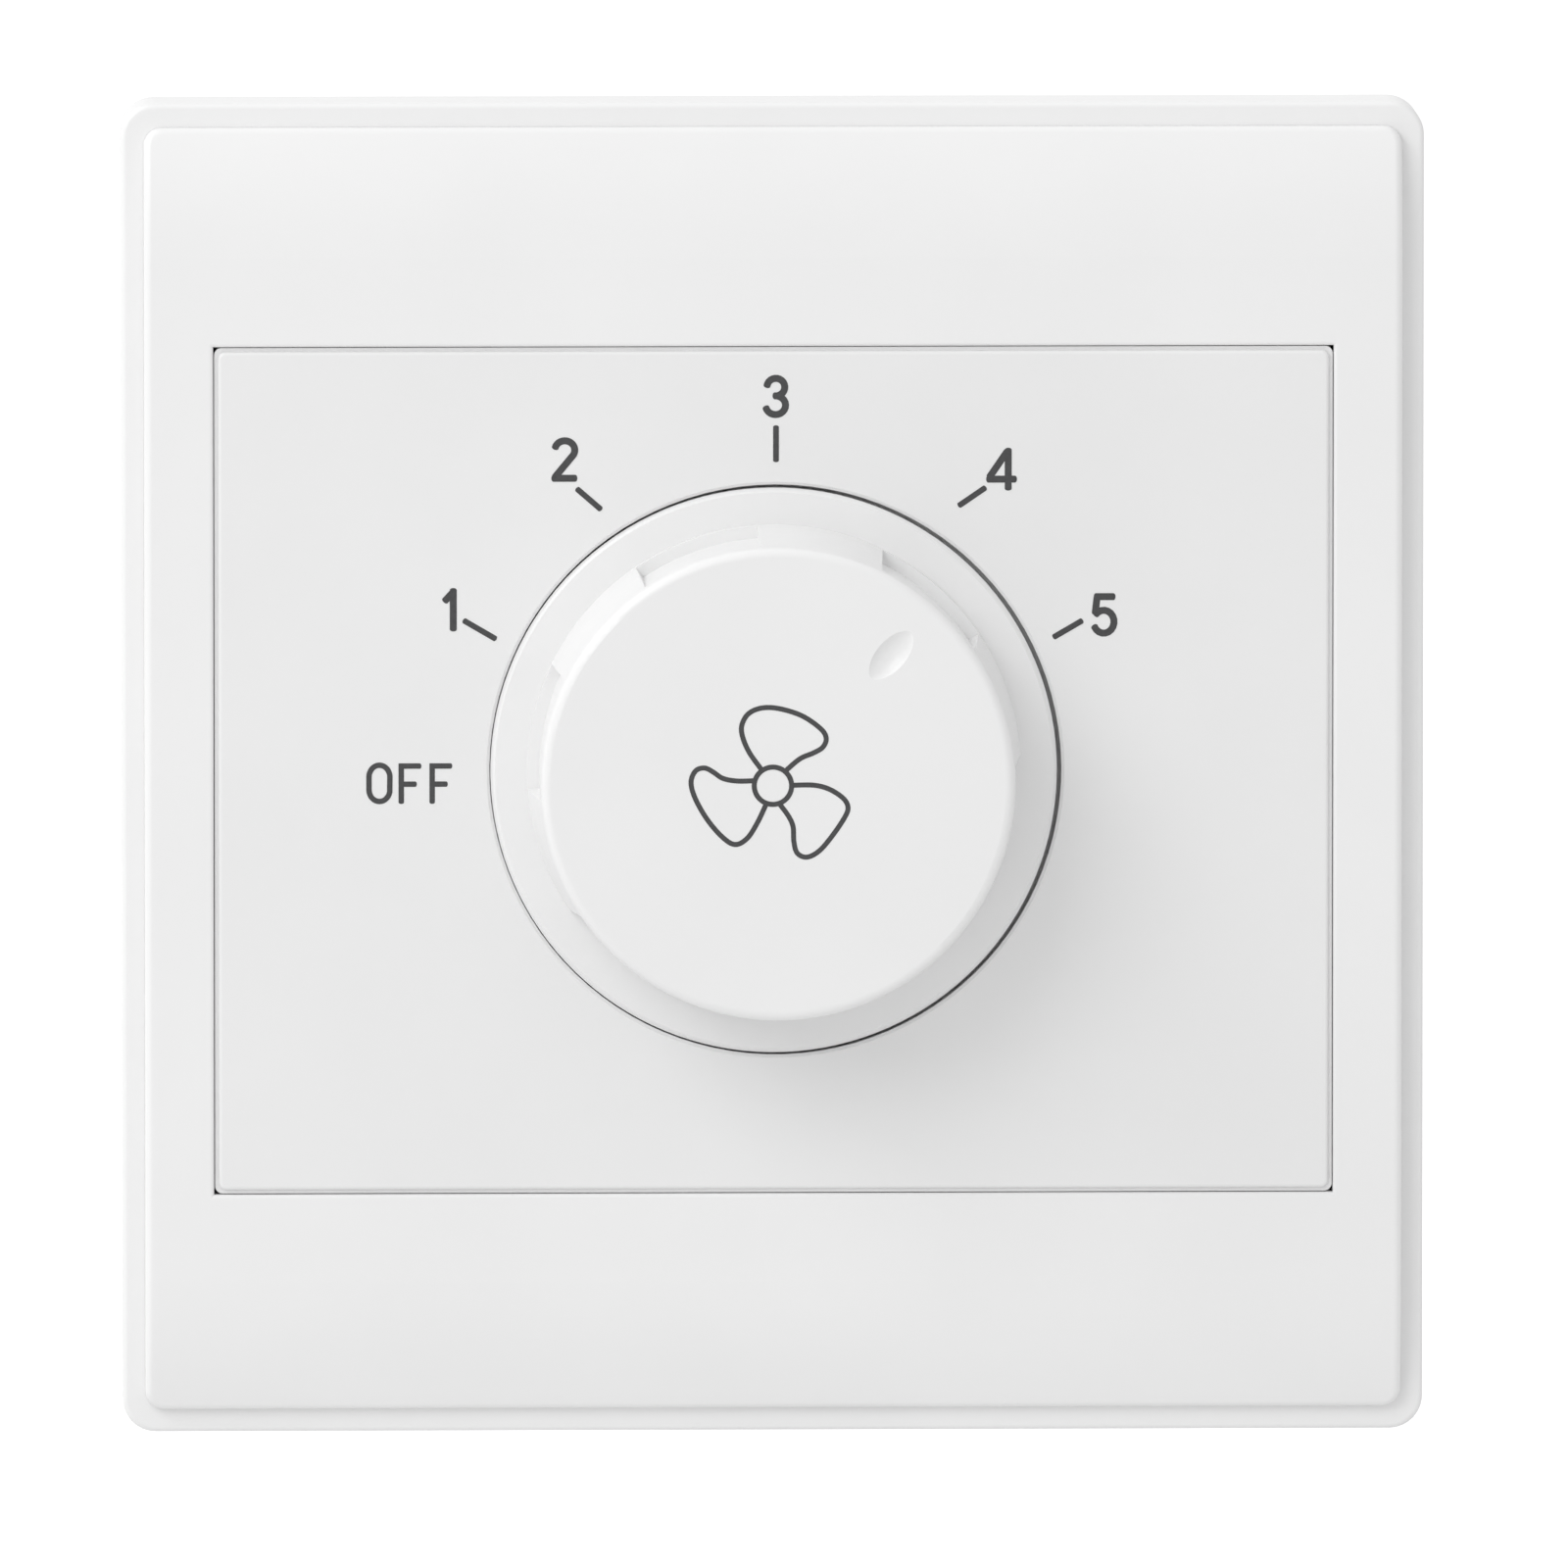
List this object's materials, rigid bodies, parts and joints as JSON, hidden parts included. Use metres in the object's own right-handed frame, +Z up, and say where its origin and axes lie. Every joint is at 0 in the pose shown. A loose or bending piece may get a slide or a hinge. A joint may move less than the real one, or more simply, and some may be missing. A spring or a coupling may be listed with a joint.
{
  "type": "fan speed control switch",
  "caption": "Square wall plate with a crowned cover and an inset dial panel, whose large skirted knob sets an off position and stepped speeds for a ceiling fan.",
  "frame": {"origin": "on the wall plane, halfway between the two wall-screw slots", "axes": "+Y into the wall, +X to the right as seen from the front, +Z up"},
  "size_m": [0.086, 0.0584, 0.088],
  "materials": {
    "carrier_white": "white moulded plastic, semi-gloss",
    "cover_white": "white moulded plastic, semi-gloss",
    "panel_white": "white moulded plastic, satin, with dark grey print",
    "knob_white": "white moulded plastic, satin",
    "housing_black": "black moulded plastic, matt",
    "switch_brown": "brown thermoset moulding",
    "rotor_natural": "natural nylon",
    "bobbin_natural": "natural nylon",
    "board_laminate": "paper and resin laminate",
    "terminal_grey": "grey moulded plastic",
    "plated_steel": "zinc-plated steel",
    "spring_steel": "blued spring steel",
    "bearing_steel": "polished steel ball",
    "shaft_aluminium": "turned aluminium",
    "core_steel": "stacked and varnished silicon steel",
    "copper_wire": "enamelled copper wire",
    "contact_brass": "brass",
    "wiper_bronze": "phosphor bronze"
  },
  "bodies": {
    "plate": {"mounting_frame": "carrier_white", "front_cover": "cover_white", "dial_panel": "panel_white", "switch_front_plate": "plated_steel", "bushing_washer": "plated_steel", "bushing_nut": "plated_steel", "detent_housing": "switch_brown", "detent_ball": "bearing_steel", "detent_spring": "spring_steel", "contact_base": "switch_brown", "speed_contacts": "contact_brass", "common_contact": "contact_brass", "switch_screws": "plated_steel", "circuit_board": "board_laminate", "choke_core": "core_steel", "choke_bobbin": "bobbin_natural", "choke_winding": "copper_wire", "choke_pins": "contact_brass", "choke_bracket": "plated_steel", "terminal_block": "terminal_grey", "terminal_clamps": "contact_brass", "terminal_screws": "plated_steel", "rear_housing": "housing_black", "housing_screws": "plated_steel"},
    "rotor": {"knob": "knob_white", "knob_clip": "spring_steel", "shaft": "shaft_aluminium", "shaft_circlip": "spring_steel", "index_wheel": "rotor_natural", "contact_rotor": "rotor_natural", "wiper": "wiper_bronze"}
  },
  "joints": [
    {"name": "knob_turn", "type": "hinge", "parent": "plate", "child": "rotor", "pos_m": [0, 0, 0], "axis": [0, -1, 0], "range_deg": [-19, 131]}
  ]
}
